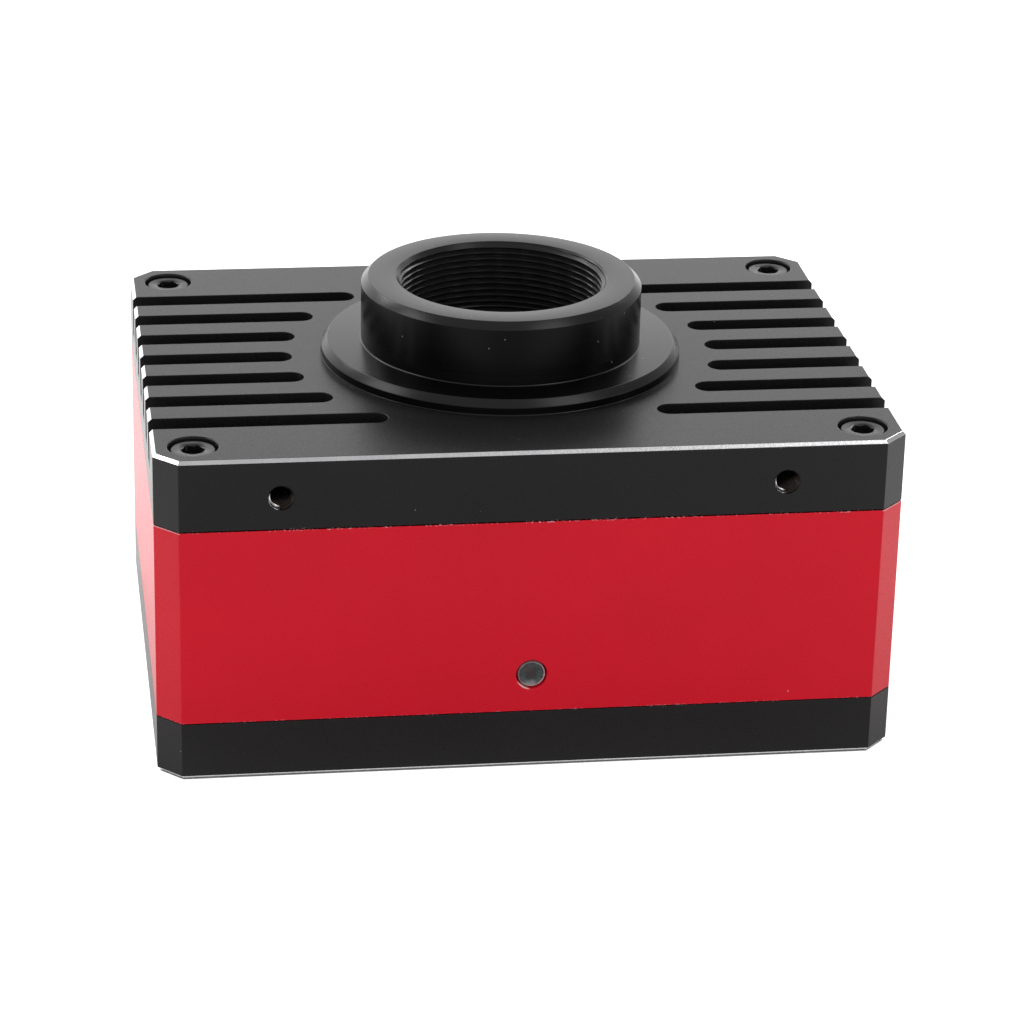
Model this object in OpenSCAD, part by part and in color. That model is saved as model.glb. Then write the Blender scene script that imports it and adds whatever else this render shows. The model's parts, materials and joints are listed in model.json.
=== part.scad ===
// Cooled astronomy camera with a turned C-mount nose.
// Origin at the centre of the rear cover's outer face, +Z up along the optical axis.
// The front, with the status light and the two tapped holes, faces -Y. Units: mm.

/* [Housing] */
// Width of the housing, left to right
body_w = 88; // [84:1:96]
// Depth of the housing, front to back
body_d = 66; // [64:1:74]
// Chamfer on the four upright corners
corner_c = 2.8; // [2:0.1:3.6]
// Bevel round the outer rim of the two covers
rim_c = 0.4; // [0.3:0.1:0.8]
// Thickness of the black rear cover
rear_t = 7.2; // [7:0.1:8]
// Height of the red body shell
shell_h = 24.4; // [24.4:0.1:26]
// Thickness of the black top cover
top_t = 8.7; // [8.6:0.1:9.6]
// Wall of the body shell
wall = 4; // [3.6:0.1:4.4]

/* [Cooling slots] */
// Slots milled in each side of the top cover
slot_count = 7; // [3:2:7]
// Distance from slot to slot
slot_pitch = 7; // [6:0.1:7]
// Width of a slot
slot_w = 3.2; // [2:0.1:3.4]
// Depth of a slot
slot_depth = 5; // [3:0.5:5]
// Distance from the optical axis to the tip of the middle slot
slot_tip_x = 25.6; // [25:0.1:27]
// Distance along Y at which the line of slot tips would meet the centre line
slot_tip_y = 26.9; // [26:0.1:28]

/* [C-mount nose] */
// Diameter of the flange that sits on the top cover
flange_d = 44.1; // [43.8:0.1:46]
// Thickness of the flange
flange_t = 1.85; // [1.6:0.05:2.4]
// Diameter of the barrel
barrel_d = 34.2; // [33:0.1:36]
// Height of the barrel above the flange
barrel_h = 7.9; // [7:0.1:9]
// Chamfer on the outer edges of the barrel and of the flange
nose_c = 0.85; // [0.5:0.05:1]
// Root diameter of the 1 inch, 32 per inch female thread
cmount_d = 25.4; // [25.4:0.01:25.5]
// Length of the female thread
cmount_len = 9; // [6:0.5:9]
// Outer diameter of the neck that screws into the top cover
neck_d = 41.9; // [41.9:0.01:41.92]
// Length of the neck below the flange
neck_len = 2.8; // [2.4:0.1:2.8]

/* [Screws] */
// Distance between the corner screws along the width
corner_screw_x = 78.5; // [78:0.1:79]
// Distance between the corner screws along the depth
corner_screw_y = 56.4; // [56:0.1:56.8]
// Depth of a corner screw's head below the cover's face
head_sink = 0.35; // [0.1:0.05:0.5]
// Distance between the two tapped holes in the front
front_hole_spacing = 59; // [50:1:60]
// Diameter of the tapped holes in the front, at the thread's root
front_hole_d = 3; // [3:0.01:3.04]
// Depth of the tapped holes in the front
front_hole_len = 6.5; // [5:0.5:7]

/* [Status light] */
// Diameter of the light window
light_d = 3.3; // [3:0.1:3.5]
// Height of the light window above the red shell's lower edge
light_up = 4.7; // [4.5:0.1:5]

/* [Fan] */
// Side of the square fan
fan_w = 40; // [40:0.5:40.5]
// Thickness of the fan
fan_t = 7; // [6.8:0.1:7]
// Number of fan blades
blade_count = 7; // [5:2:9]
// Tilt of a blade from the plane of the fan, in degrees
blade_tilt = 38; // [30:1:42]

/* [Hidden] */
$fn = 96;
eps = 0.01;
cut = 1;

// Heights of the main faces
z_shell = rear_t;
z_top = rear_t + shell_h;
z_plate = z_top + top_t;
z_flange = z_plate + flange_t;
z_nose = z_flange + barrel_h;

// Distance of the front holes' axes below the top cover's face
front_hole_down = 4.8;

// Seat of the nose in the top cover
neck_bore_d = neck_d + 0.1;
z_neck = z_plate - neck_len;
z_neck_floor = z_neck - 0.2;
neck_groove_d = 39.9;
neck_groove_z = z_neck + 0.5;
neck_groove_h = 1.1;
nose_bore_d = 23.4;
neck_relief_d = 36;
neck_relief_h = 1.2;

// Window stack, from the optical axis outwards and from the sensor up
aperture_d = 24;
web_z = z_top + 1.5;
window_seat_z = web_z + 1;
window_d = 30;
window_t = 1.2;
window_seal_r = 0.5;
window_z = window_seat_z + 2 * window_seal_r;
ring_d = 37;
ring_z = window_z + window_t;
ring_t = z_neck_floor - 0.1 - ring_z;

// Sensor stack: the image lies one C-mount flange distance, plus the shift of two
// flat glasses, below the top of the nose
c_mount_depth = 17.526;
glass_shift = 0.72;
z_image = z_nose - c_mount_depth - glass_shift;
board_t = 1.6;
package_size = [20, 18];
package_z = z_image - 1.3;
package_h = 1.7;
cover_glass_t = 0.7;
sensor_board_z = package_z - board_t;
sensor_board_size = [34.6, 36.6];
sensor_screw = [15.6, 12];
finger_neck = [12, 10];

// Cold chamber
gasket_t = 0.5;
sink_top_z = 21.2;
sink_base_t = 4;
chamber_size = [41.6, 44];
chamber_z = sink_top_z + gasket_t;
chamber_h = z_top - gasket_t - chamber_z;
chamber_hole = [35, 37];
chamber_well = [28, 31];
chamber_screw = [18.8, 19.8];
tec_w = 20;
ceramic_t = 0.7;
pellet_h = 1.8;
pellet_w = 1.6;
pellet_rows = 6;
pellet_pitch = 3.1;
finger_z = sink_top_z + 2 * ceramic_t + pellet_h;
finger_w = 22;
finger_base_h = 2.6;
pad_t = 0.3;
foam_size = [27.6, 30.6];
tablet_y = 8.6;

// Bore and bend of the light pipe
light_gap = 0.35;
light_c = 0.13;
light_back = 8;
light_sunk = 0.25;

// Heat sink
fin_len = chamber_size[1];
fin_count = 13;
fin_t = 1.2;
fin_pitch = 3.2;
fin_z = 9.4;

// Main board and what stands on it
main_board_z = 22.4;
board_gap = 0.5;
board_screw = [36.4, 17];
lug_z = 14;
lug_x = 34;

// Ports in the back wall
usb_size = [12, 17.4, 12];
usb_x = -27.4;
jack_x = 26.5;
jack_size = [9, 9.6, 11];
jack_nose_d = 9.6;
port_face_y = body_d / 2 - 0.4;
vent_count = 8;
vent_pitch = 4;
vent_w = 2.2;
vent_z = [9.6, 17];

// Pockets in the rear cover, either side of the fan
pocket_x = 30.5;
pocket_z = 3.6;
pocket_size = [15, 44];

// Fan
web_t = 2;
fan_z = web_t;
fan_duct_d = 37.6;
fan_hole = 16;
hub_d = 21.6;
blade_tip_d = 36.6;
rotor_z = fan_z + 1.6;
rotor_h = 4.9;
shaft_d = 2;

// Sizes of the metric screws: shank, head diameter, head height, key width
m3 = [2.98, 5.4, 3, 2.5];
m25 = [2.48, 4.5, 2.5, 2];
m2 = [1.98, 3.6, 1.3, 1.3];
tap_gap = 0.04;
head_gap = 0.4;

// ---------------------------------------------------------------- shapes

// The housing's outline, a rectangle with cut corners, drawn in by an even margin.
module housing_outline(inset = 0) {
    hx = body_w / 2 - inset;
    hy = body_d / 2 - inset;
    c = corner_c - inset * (2 - sqrt(2));
    polygon([[-hx + c, -hy], [hx - c, -hy], [hx, -hy + c], [hx, hy - c],
        [hx - c, hy], [-hx + c, hy], [-hx, hy - c], [-hx, -hy + c]]);
}

// A long bar along Y whose section is w wide and t high, with its two upper edges cut.
module bevelled_bar(w, t, c) {
    length = 2 * (body_w + body_d);
    rotate([90, 0, 0]) linear_extrude(height = length, center = true)
        polygon([[-w / 2, 0], [w / 2, 0], [w / 2, t - c],
            [w / 2 - c, t], [-w / 2 + c, t], [-w / 2, t - c]]);
}

// A plate of the housing's outline with a bevel round its upper rim.
module bevelled_plate(t) {
    across_corners = (body_w + body_d - 2 * corner_c) / sqrt(2);
    intersection() {
        linear_extrude(height = t) housing_outline();
        bevelled_bar(body_w, t, rim_c);
        rotate(90) bevelled_bar(body_d, t, rim_c);
        rotate(45) bevelled_bar(across_corners, t, rim_c);
        rotate(-45) bevelled_bar(across_corners, t, rim_c);
    }
}

module rounded_rect(w, d, r) {
    square([w - 2 * r, d], center = true);
    square([w, d - 2 * r], center = true);
    for (x = [-1, 1], y = [-1, 1]) translate([x * (w / 2 - r), y * (d / 2 - r)]) circle(r);
}

module block(size, at) {
    translate(at) translate([-size[0] / 2, -size[1] / 2, 0]) cube(size);
}

module pipe(d_out, d_in, h) {
    difference() {
        cylinder(d = d_out, h = h);
        translate([0, 0, -cut]) cylinder(d = d_in, h = h + 2 * cut);
    }
}

module at_corners(x, y) {
    for (sx = [-1, 1], sy = [-1, 1]) translate([sx * x, sy * y, 0]) children();
}

// A straight-sided hole, widened to a cone at its mouth, which looks up from z = 0.
module chamfered_hole(d, depth, c) {
    translate([0, 0, -depth]) cylinder(d = d, h = depth + cut);
    translate([0, 0, -c]) cylinder(d1 = d, d2 = d + 2 * c, h = c);
    cylinder(d = d + 2 * c, h = cut);
}

// Socket head cap screw whose head's underside lies at z = 0 and whose shank points down.
module cap_screw(size, length) {
    rim = 0.2;
    difference() {
        union() {
            translate([0, 0, -length]) cylinder(d = size[0], h = length + eps);
            cylinder(d = size[1], h = size[2] - rim);
            translate([0, 0, size[2] - rim])
                cylinder(d1 = size[1], d2 = size[1] - 2 * rim, h = rim);
        }
        key_d = size[3] / cos(30);
        translate([0, 0, size[2] / 2]) cylinder(d = key_d, h = size[2], $fn = 6);
        translate([0, 0, size[2] - 0.15]) cylinder(d1 = size[3], d2 = key_d + 0.25, h = 0.15 + eps);
    }
}

// Round wire along a list of points: straight runs with ball joints at the bends.
module wire(points, d) {
    for (i = [0 : len(points) - 2]) {
        run = points[i + 1] - points[i];
        length = norm(run);
        translate(points[i])
            rotate([0, acos(run[2] / length), atan2(run[1], run[0])])
                cylinder(d = d, h = length, $fn = 24);
    }
    for (i = [1 : len(points) - 2]) translate(points[i]) sphere(d = d, $fn = 24);
}

// ---------------------------------------------------------------- housing

// One slot, open past the side of the cover and round at its inner tip.
module cooling_slot(y) {
    tip = slot_tip_x * sqrt(1 - pow(y / slot_tip_y, 2));
    translate([0, y, z_plate - slot_depth]) linear_extrude(height = slot_depth + cut) {
        translate([tip + slot_w / 2, 0]) circle(d = slot_w);
        translate([tip + slot_w / 2, -slot_w / 2]) square([body_w, slot_w]);
    }
}

// Counterbored hole for a corner screw, its mouth looking up from z = 0.
module corner_screw_hole(through) {
    chamfered_hole(m3[1] + head_gap, m3[2] + head_sink, 0.15);
    translate([0, 0, -through - cut]) cylinder(d = 3.4, h = through + cut);
}

module top_cover() color([0.16, 0.16, 0.165]) difference() {
    translate([0, 0, z_top]) bevelled_plate(top_t);
    for (side = [0, 1], i = [0 : slot_count - 1])
        mirror([side, 0, 0]) cooling_slot((i - (slot_count - 1) / 2) * slot_pitch);
    translate([0, 0, z_plate])
        at_corners(corner_screw_x / 2, corner_screw_y / 2) corner_screw_hole(top_t);
    // Seat of the nose, the retaining ring and the window
    translate([0, 0, z_neck_floor]) cylinder(d = neck_bore_d, h = top_t);
    translate([0, 0, ring_z]) cylinder(d = ring_d + tap_gap, h = top_t);
    translate([0, 0, window_seat_z]) cylinder(d = window_d + 0.4, h = top_t);
    translate([0, 0, z_top - cut]) cylinder(d = aperture_d, h = top_t);
    block([chamber_hole[0], chamber_hole[1] - 3, web_z - z_top + cut], [0, 0, z_top - cut]);
    // Tapped holes in the front
    for (side = [-1, 1])
        translate([side * front_hole_spacing / 2, -body_d / 2, z_plate - front_hole_down])
            rotate([90, 0, 0]) chamfered_hole(front_hole_d, front_hole_len, 0.05);
    // Tapped holes for the chamber screws
    translate([0, 0, z_top - cut])
        at_corners(chamber_screw[0], chamber_screw[1]) cylinder(d = m25[0] + tap_gap, h = 3.4);
}

// Corner pillars and board lugs on the inside of the shell.
module shell_inside() {
    pillar = 9.5;
    lug = [body_w / 2 - wall - lug_x, 6];
    difference() {
        linear_extrude(height = shell_h + 2 * cut) square([body_w - 2 * wall, body_d - 2 * wall],
            center = true);
        at_corners(body_w / 2 - pillar / 2, body_d / 2 - pillar / 2)
            linear_extrude(height = shell_h + 2 * cut) rounded_rect(pillar, pillar, 1.5);
        at_corners(lug_x + lug[0] / 2 + eps, board_screw[1])
            block([lug[0] + 2 * eps, lug[1], main_board_z - lug_z], [0, 0, lug_z - z_shell + cut]);
    }
}

module vent_slot() {
    translate([0, body_d / 2 - wall - cut, 0]) rotate([-90, 0, 0])
        linear_extrude(height = wall + 2 * cut) {
            h = vent_z[1] - vent_z[0] - vent_w;
            translate([0, -(vent_z[0] + vent_w / 2 + h / 2)]) square([vent_w, h], center = true);
            for (z = [0, h]) translate([0, -(vent_z[0] + vent_w / 2 + z)]) circle(d = vent_w);
        }
}

module gasket_ring(margin, h) {
    linear_extrude(height = h) difference() {
        housing_outline(1.3 - margin);
        housing_outline(2.5 + margin);
    }
}

module body_shell() color([0.72, 0.08, 0.12]) difference() {
    translate([0, 0, z_shell]) linear_extrude(height = shell_h) housing_outline();
    translate([0, 0, z_shell - cut]) shell_inside();
    // Tapped holes in the corner pillars, from both ends
    for (z = [z_shell - cut, z_top - 12])
        translate([0, 0, z]) at_corners(corner_screw_x / 2, corner_screw_y / 2)
            cylinder(d = m3[0] + tap_gap, h = 12 + cut);
    translate([0, 0, main_board_z - 6])
        at_corners(board_screw[0], board_screw[1]) cylinder(d = m25[0] + tap_gap, h = 7);
    // Gasket grooves
    translate([0, 0, z_shell - cut]) gasket_ring(0.1, 0.8 + cut);
    translate([0, 0, z_top - 0.8]) gasket_ring(0.1, 0.8 + cut);
    // Bore for the status light, two ports and the air inlet
    translate([0, -body_d / 2, z_shell + light_up])
        rotate([90, 0, 0]) chamfered_hole(light_d + light_gap, wall + cut, light_c);
    block([usb_size[0] + 0.4, wall + 2 * cut, usb_size[2] + 0.4],
        [usb_x, body_d / 2 - wall / 2, main_board_z - usb_size[2] - 0.2]);
    translate([jack_x, body_d / 2 + cut, main_board_z - jack_size[2] / 2])
        rotate([90, 0, 0]) cylinder(d = jack_nose_d + 0.4, h = wall + 2 * cut);
    for (i = [0 : vent_count - 1])
        translate([(i - (vent_count - 1) / 2) * vent_pitch, 0, 0]) vent_slot();
}

// Three ring slots and four spokes in front of the fan, with an open centre left solid.
module grille() {
    spoke = 2.4;
    for (r = [8, 12, 16]) linear_extrude(height = web_t + 2 * cut) difference() {
        circle(r + 2.7);
        circle(r);
        for (a = [0 : 60 : 120]) rotate(a) square([4 * r + 10, spoke], center = true);
    }
}

module rear_cover() color([0.16, 0.16, 0.165]) difference() {
    translate([0, 0, rear_t]) mirror([0, 0, 1]) bevelled_plate(rear_t);
    mirror([0, 0, 1])
        at_corners(corner_screw_x / 2, corner_screw_y / 2) corner_screw_hole(rear_t);
    translate([0, 0, -cut]) grille();
    translate([0, 0, web_t]) linear_extrude(height = rear_t)
        rounded_rect(fan_w + 0.6, fan_w + 0.6, 1.5);
    // Weight-saving pockets either side of the fan
    for (side = [-1, 1])
        translate([side * pocket_x, 0, pocket_z]) linear_extrude(height = rear_t)
            rounded_rect(pocket_size[0], pocket_size[1], 3);
    // Countersinks for the fan screws
    at_corners(fan_hole, fan_hole) {
        translate([0, 0, -cut]) cylinder(d = 3.2, h = rear_t);
        translate([0, 0, 0.1]) cylinder(d1 = 5.7, d2 = 3.2, h = 1.6);
        translate([0, 0, -cut]) cylinder(d = 5.7, h = cut + 0.1);
    }
}

module top_cover_screws() color([0.09, 0.09, 0.1])
    translate([0, 0, z_plate - head_sink - m3[2]])
        at_corners(corner_screw_x / 2, corner_screw_y / 2) cap_screw(m3, 12);

module rear_cover_screws() color([0.09, 0.09, 0.1])
    translate([0, 0, head_sink + m3[2]]) mirror([0, 0, 1])
        at_corners(corner_screw_x / 2, corner_screw_y / 2) cap_screw(m3, 10);

module top_gasket() color([0.05, 0.05, 0.05]) translate([0, 0, z_top - 0.8]) gasket_ring(0, 0.8);

module rear_gasket() color([0.05, 0.05, 0.05]) translate([0, 0, z_shell]) gasket_ring(0, 0.8);

// ---------------------------------------------------------------- nose

// Turned nose: neck with an O-ring groove, flange, barrel and female thread, as one
// closed profile in radius and height.
module c_mount_nose() color([0.17, 0.17, 0.175]) {
    r_neck = neck_d / 2;
    r_groove = neck_groove_d / 2;
    r_flange = flange_d / 2;
    r_barrel = barrel_d / 2;
    r_thread = cmount_d / 2;
    r_bore = nose_bore_d / 2;
    r_relief = neck_relief_d / 2;
    thread_c = 0.2;
    rotate_extrude() polygon([
        [r_relief, z_neck], [r_neck, z_neck],
        [r_neck, neck_groove_z], [r_groove, neck_groove_z],
        [r_groove, neck_groove_z + neck_groove_h], [r_neck, neck_groove_z + neck_groove_h],
        [r_neck, z_plate], [r_flange, z_plate],
        [r_flange, z_flange - nose_c], [r_flange - nose_c, z_flange],
        [r_barrel, z_flange], [r_barrel, z_nose - nose_c], [r_barrel - nose_c, z_nose],
        [r_thread + thread_c, z_nose], [r_thread, z_nose - thread_c],
        [r_thread, z_nose - cmount_len], [r_bore, z_nose - cmount_len],
        [r_bore, z_neck + neck_relief_h], [r_relief, z_neck + neck_relief_h]]);
}

module nose_o_ring() color([0.05, 0.05, 0.05]) {
    section = 0.45;
    translate([0, 0, neck_groove_z + neck_groove_h / 2])
        rotate_extrude() translate([neck_groove_d / 2 + 0.05 + section, 0]) circle(section);
}

// ---------------------------------------------------------------- status light

module status_light_pipe() color([0.45, 0.5, 0.48, 0.8]) {
    z = z_shell + light_up;
    elbow = [0, -body_d / 2 + light_back, z];
    translate(elbow) rotate([90, 0, 0]) cylinder(d = light_d, h = light_back - light_sunk);
    translate(elbow) sphere(d = light_d);
    translate(elbow) cylinder(d = light_d, h = main_board_z - 1 - z);
}

module status_led() color([0.9, 0.9, 0.8])
    block([2, 1.2, 1], [0, -body_d / 2 + light_back, main_board_z - 1]);

// ---------------------------------------------------------------- window

module window_glass() color([0.7, 0.8, 0.85, 0.4])
    translate([0, 0, window_z]) cylinder(d = window_d, h = window_t);

module window_o_ring() color([0.05, 0.05, 0.05])
    translate([0, 0, window_seat_z + window_seal_r])
        rotate_extrude() translate([13.6, 0]) circle(window_seal_r);

module window_retaining_ring() color([0.12, 0.12, 0.12]) difference() {
    translate([0, 0, ring_z]) pipe(ring_d, 25, ring_t);
    // Two notches for a spanner
    for (side = [-1, 1]) block([3, 2, ring_t], [side * 17.8, 0, ring_z + ring_t / 2]);
}

// ---------------------------------------------------------------- sensor

module image_sensor() color([0.35, 0.33, 0.3]) difference() {
    block([package_size[0], package_size[1], package_h], [0, 0, package_z]);
    block([15.4, 13.4, package_h], [0, 0, z_image - 0.5]);
}

module sensor_die() color([0.25, 0.3, 0.38])
    block([13.2, 11.4, 0.5], [0, 0, z_image - 0.5]);

module sensor_cover_glass() color([0.7, 0.8, 0.85, 0.4])
    block([17.6, 15.6, cover_glass_t], [0, 0, package_z + package_h]);

module sensor_board() color([0.05, 0.25, 0.13])
    translate([0, 0, sensor_board_z]) linear_extrude(height = board_t) difference() {
        rounded_rect(sensor_board_size[0], sensor_board_size[1], 2.8);
        square([finger_neck[0] + 1, finger_neck[1] + 1], center = true);
        at_corners(sensor_screw[0], sensor_screw[1]) circle(d = 2.2);
    }

module sensor_board_screws() color([0.7, 0.7, 0.7])
    translate([0, 0, sensor_board_z + board_t])
        at_corners(sensor_screw[0], sensor_screw[1]) cap_screw(m2, 5);

module thermal_pad() color([0.55, 0.6, 0.65])
    block([finger_neck[0], finger_neck[1], pad_t], [0, 0, package_z - pad_t]);

// ---------------------------------------------------------------- cooler

module cold_finger() color([0.75, 0.76, 0.78]) {
    block([finger_w, finger_w, finger_base_h], [0, 0, finger_z]);
    neck_z = finger_z + finger_base_h - eps;
    block([finger_neck[0], finger_neck[1], package_z - pad_t - neck_z], [0, 0, neck_z]);
}

module temperature_probe() color([0.15, 0.13, 0.12])
    block([2.4, 1.6, 1], [-9, 0, finger_z + finger_base_h]);

module tec_cold_plate() color([0.93, 0.93, 0.9])
    block([tec_w, tec_w, ceramic_t], [0, 0, finger_z - ceramic_t]);

module tec_pellets() color([0.35, 0.35, 0.38])
    for (i = [0 : pellet_rows - 1], j = [0 : pellet_rows - 1])
        block([pellet_w, pellet_w, pellet_h],
            [(i - (pellet_rows - 1) / 2) * pellet_pitch, (j - (pellet_rows - 1) / 2) * pellet_pitch,
                sink_top_z + ceramic_t]);

module tec_hot_plate() color([0.93, 0.93, 0.9])
    block([tec_w, tec_w, ceramic_t], [0, 0, sink_top_z]);

module chamber_insulation() color([0.2, 0.2, 0.22]) difference() {
    foam_z = sink_top_z;
    finger_top = finger_z + finger_base_h + 0.1;
    block([foam_size[0], foam_size[1], sensor_board_z - 0.3 - foam_z], [0, 0, foam_z]);
    block([finger_w + 0.6, finger_w + 0.6, finger_top - foam_z + cut], [0, 0, foam_z - cut]);
    block([finger_neck[0] + 0.6, finger_neck[1] + 0.6, 20], [0, 0, foam_z]);
    // Pockets for the desiccant and the temperature probe, and a way out for the leads
    for (side = [-1, 1]) translate([0, side * tablet_y, foam_z]) cylinder(d = 6.4, h = 20);
    block([3, 2.2, 2], [-9, 0, finger_top - 1]);
    for (side = [-1, 1]) block([20, 1.4, 1.4], [18, side * 3, foam_z]);
}

module desiccant_tablets() color([0.95, 0.85, 0.7])
    for (side = [-1, 1])
        translate([0, side * tablet_y, finger_z + finger_base_h]) cylinder(d = 6, h = 1.2);

module chamber_housing() color([0.22, 0.22, 0.23]) difference() {
    translate([0, 0, chamber_z]) linear_extrude(height = chamber_h)
        rounded_rect(chamber_size[0], chamber_size[1], 2);
    translate([0, 0, sensor_board_z]) linear_extrude(height = chamber_h)
        rounded_rect(chamber_hole[0], chamber_hole[1], 3);
    block([chamber_well[0], chamber_well[1], chamber_h], [0, 0, chamber_z - cut]);
    at_corners(chamber_screw[0], chamber_screw[1])
        translate([0, 0, chamber_z - cut]) cylinder(d = 2.8, h = chamber_h + 2 * cut);
    at_corners(sensor_screw[0], sensor_screw[1])
        translate([0, 0, sensor_board_z - 4]) cylinder(d = m2[0] + tap_gap, h = 6);
    // Notch for the flexible cable in the upper rim
    block([10, 13, 1], [-chamber_size[0] / 2, 0, chamber_z + chamber_h - 0.6]);
    lead_slots();
}

// Ways out for the cooler's two leads, just above the heat sink.
module lead_slots() {
    for (side = [-1, 1])
        block([16, 1.4, 1.5], [chamber_size[0] / 2, side * 3, sink_top_z - 0.3]);
}

module chamber_gasket(z) {
    translate([0, 0, z]) linear_extrude(height = gasket_t) difference() {
        rounded_rect(chamber_size[0], chamber_size[1], 2);
        rounded_rect(chamber_hole[0], chamber_hole[1], 3);
        at_corners(chamber_screw[0], chamber_screw[1]) circle(d = 2.8);
    }
}

module chamber_gaskets() color([0.05, 0.05, 0.05]) {
    difference() {
        chamber_gasket(sink_top_z);
        lead_slots();
    }
    chamber_gasket(z_top - gasket_t);
}

module chamber_screws() color([0.09, 0.09, 0.1])
    translate([0, 0, sink_top_z - sink_base_t]) mirror([0, 0, 1])
        at_corners(chamber_screw[0], chamber_screw[1]) cap_screw(m25, 16);

module heat_sink() color([0.75, 0.76, 0.78]) difference() {
    union() {
        block([chamber_size[0], chamber_size[1], sink_base_t], [0, 0, sink_top_z - sink_base_t]);
        for (i = [0 : fin_count - 1])
            block([fin_t, fin_len, sink_top_z - sink_base_t - fin_z + eps],
                [(i - (fin_count - 1) / 2) * fin_pitch, 0, fin_z]);
    }
    at_corners(chamber_screw[0], chamber_screw[1]) {
        translate([0, 0, fin_z - cut]) cylinder(d = 6.6, h = sink_top_z - sink_base_t - fin_z + cut);
        translate([0, 0, fin_z]) cylinder(d = 2.8, h = 20);
    }
}

// ---------------------------------------------------------------- fan

module fan_frame() color([0.07, 0.07, 0.07]) {
    difference() {
        translate([0, 0, fan_z]) linear_extrude(height = fan_t) rounded_rect(fan_w, fan_w, 2);
        translate([0, 0, fan_z - cut]) cylinder(d = fan_duct_d, h = fan_t + 2 * cut);
        at_corners(fan_hole, fan_hole)
            translate([0, 0, fan_z - cut]) cylinder(d = 2.7, h = fan_t + 2 * cut);
    }
    // Motor base on four arms, with the tube that holds the bearings
    difference() {
        union() {
            translate([0, 0, fan_z]) cylinder(d = hub_d, h = 1);
            for (a = [45, 135]) rotate(a) block([fan_duct_d + 1, 2.4, 1], [0, 0, fan_z]);
            translate([0, 0, fan_z]) cylinder(d = 6.4, h = 5.2);
        }
        translate([0, 0, fan_z + 0.6]) cylinder(d = 5, h = fan_t);
    }
}

module fan_stator() color([0.72, 0.42, 0.2]) {
    coil_z = fan_z + 1.2;
    difference() {
        translate([0, 0, coil_z]) cylinder(d = 16.4, h = 3.6);
        translate([0, 0, coil_z - cut]) cylinder(d = 6.4, h = 6);
        for (a = [0 : 90 : 270]) rotate(a + 45) block([3, 1.6, 6], [7.6, 0, coil_z - cut]);
    }
    translate([0, 0, fan_z + 1]) pipe(9, 6.4, 0.2);
}

module fan_bearings() color([0.8, 0.8, 0.82])
    for (z = [fan_z + 0.6, fan_z + 3.4]) translate([0, 0, z]) pipe(5, shaft_d + 0.06, 1.6);

module fan_shaft() color([0.8, 0.8, 0.82])
    translate([0, 0, fan_z + 0.9]) cylinder(d = shaft_d, h = 4.7);

// Blades are flat slabs, tilted and trimmed between the hub and the tip circle.
module fan_blades() {
    intersection() {
        translate([0, 0, rotor_z]) pipe(blade_tip_d, hub_d - 1, rotor_h);
        for (i = [0 : blade_count - 1]) rotate(i * 360 / blade_count)
            translate([0, 0, rotor_z + rotor_h / 2]) rotate([blade_tilt, 0, 0])
                block([blade_tip_d, 12, 0.9], [blade_tip_d / 2, 0, -0.45]);
    }
}

module fan_rotor() color([0.08, 0.08, 0.08]) {
    difference() {
        translate([0, 0, rotor_z]) cylinder(d = hub_d, h = rotor_h);
        translate([0, 0, rotor_z - cut]) cylinder(d = hub_d - 1.6, h = rotor_h - 1 + cut);
        translate([0, 0, rotor_z]) cylinder(d = shaft_d, h = rotor_h - 0.5);
    }
    fan_blades();
}

module fan_magnet() color([0.3, 0.3, 0.3])
    translate([0, 0, rotor_z + 0.2]) pipe(hub_d - 1.6, hub_d - 4, rotor_h - 1.2);

module fan_screws() color([0.09, 0.09, 0.1])
    at_corners(fan_hole, fan_hole) difference() {
        union() {
            translate([0, 0, 0.2]) cylinder(d1 = 5.4, d2 = 2.68, h = 1.45);
            translate([0, 0, 1]) cylinder(d = 2.66, h = 6);
        }
        translate([0, 0, -cut]) cylinder(d = 2 / cos(30), h = cut + 1.2, $fn = 6);
    }

// ---------------------------------------------------------------- electronics

module main_board() color([0.05, 0.25, 0.13])
    translate([0, 0, main_board_z]) linear_extrude(height = board_t) difference() {
        square([body_w - 2 * wall - 2 * board_gap, body_d - 2 * wall - 2 * board_gap], center = true);
        square([chamber_size[0] + 1.4, chamber_size[1] + 1.4], center = true);
        at_corners(body_w / 2 - wall, body_d / 2 - wall) square(12.4, center = true);
        at_corners(board_screw[0], board_screw[1]) circle(d = 2.8);
    }

module board_screws() color([0.7, 0.7, 0.7])
    translate([0, 0, main_board_z + board_t])
        at_corners(board_screw[0], board_screw[1]) cap_screw(m25, 6);

module processor() color([0.1, 0.1, 0.1])
    block([13, 13, 1.4], [30, 0, main_board_z + board_t]);

module memory_chips() color([0.1, 0.1, 0.1])
    for (y = [-9, 9]) block([8, 10, 1], [-31, y * 0.8, main_board_z + board_t]);

module inductors() color([0.25, 0.25, 0.27])
    for (y = [-6, 3]) block([7, 7, 3.4], [29, y, main_board_z - 3.4]);

module capacitors() color([0.6, 0.6, 0.64])
    for (y = [-1, 6]) translate([-30, y, main_board_z - 6]) cylinder(d = 5, h = 6);

// Outline of the socket's mouth, wide below and narrow above.
module usb_mouth(margin) {
    w = 8.9 + margin;
    polygon([[-w / 2, -5.1 - margin / 2], [w / 2, -5.1 - margin / 2], [w / 2, 1.4], [w / 2 - 1.4, 2.8],
        [w / 2 - 1.4, 5.1 + margin / 2], [-w / 2 + 1.4, 5.1 + margin / 2],
        [-w / 2 + 1.4, 2.8], [-w / 2, 1.4]]);
}

module usb_socket() color([0.75, 0.76, 0.78]) difference() {
    block(usb_size, [usb_x, port_face_y - usb_size[1] / 2, main_board_z - usb_size[2]]);
    translate([usb_x, port_face_y + cut, main_board_z - usb_size[2] / 2])
        rotate([90, 0, 0]) linear_extrude(height = 9 + cut) usb_mouth(0);
}

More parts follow.
